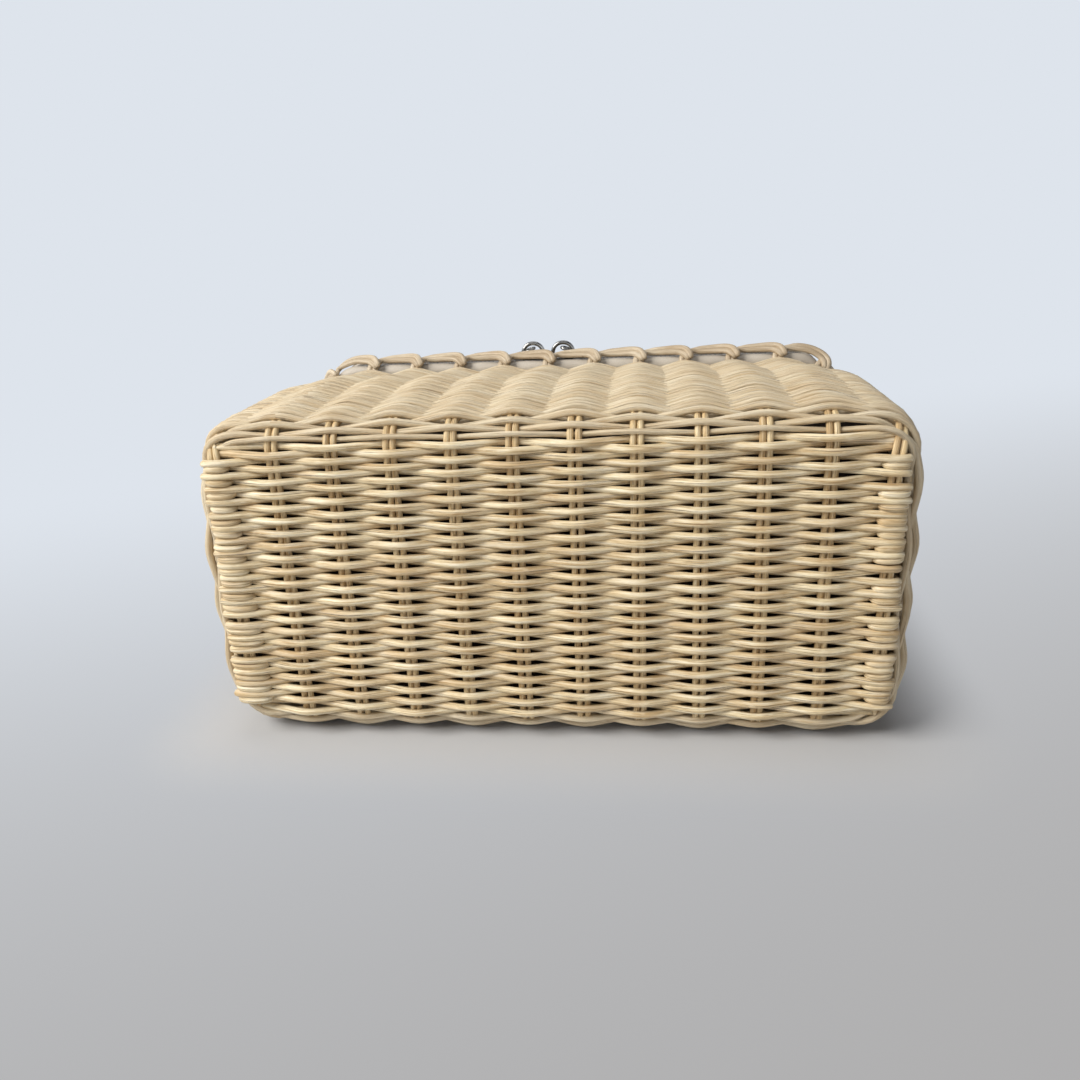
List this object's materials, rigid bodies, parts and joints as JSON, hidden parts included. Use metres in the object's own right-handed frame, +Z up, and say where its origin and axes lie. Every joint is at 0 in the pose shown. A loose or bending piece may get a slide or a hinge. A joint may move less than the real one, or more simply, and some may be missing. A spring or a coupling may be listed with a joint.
{
  "type": "basket box bag",
  "caption": "Small boxy hand-woven cane bag with a laced rim, a leather zip lid and a riveted leather top handle, lying on its back.",
  "frame": {"origin": "middle of the footprint of the bag as it lies on its back wall, on the floor", "axes": "+X along the bag's width, -Y toward its woven bottom, +Y toward its lid and handle, +Z up from the back wall toward the front wall"},
  "size_m": [0.249, 0.187, 0.1231],
  "materials": {
    "cane": "natural split cane, satin",
    "rim_cane": "natural cane, smooth",
    "leather": "greige smooth leather",
    "lining": "dark brown cotton",
    "tape": "woven zip tape",
    "nickel": "polished nickel"
  },
  "bodies": {
    "basket": {"woven_base": "cane", "woven_wall": "cane", "lining": "lining", "rim_roll": "leather", "rim_border": "rim_cane", "zip_collar": "leather", "lower_tape": "tape", "lower_teeth": "nickel", "zip_stops": "nickel"},
    "lid": {"lid_panel": "leather", "lid_band": "leather", "lid_piping": "leather", "upper_tape": "tape", "upper_teeth": "nickel", "handle_strap": "leather", "handle_washers": "nickel", "handle_rivets": "nickel"},
    "left_slider": {"left_slider": "nickel"},
    "right_slider": {"right_slider": "nickel"},
    "left_pull": {"left_pull": "nickel"},
    "right_pull": {"right_pull": "nickel"}
  },
  "joints": [
    {"name": "lid_hinge", "type": "hinge", "parent": "basket", "child": "lid", "pos_m": [0, 0.05643, 0.0071], "axis": [-1, 0, 0], "range_deg": [0, 100]},
    {"name": "left_slide", "type": "slide", "parent": "basket", "child": "left_slider", "axis": [-1, 0, 0], "range_m": [0, 0.072]},
    {"name": "right_slide", "type": "slide", "parent": "basket", "child": "right_slider", "axis": [1, 0, 0], "range_m": [0, 0.095]},
    {"name": "left_pull_swing", "type": "hinge", "parent": "left_slider", "child": "left_pull", "pos_m": [-0.0186, 0.05643, 0.12055], "axis": [0, 1, 0], "range_deg": [0, 112]},
    {"name": "right_pull_swing", "type": "hinge", "parent": "right_slider", "child": "right_pull", "pos_m": [-0.0044, 0.05643, 0.12055], "axis": [0, -1, 0], "range_deg": [0, 112]}
  ]
}
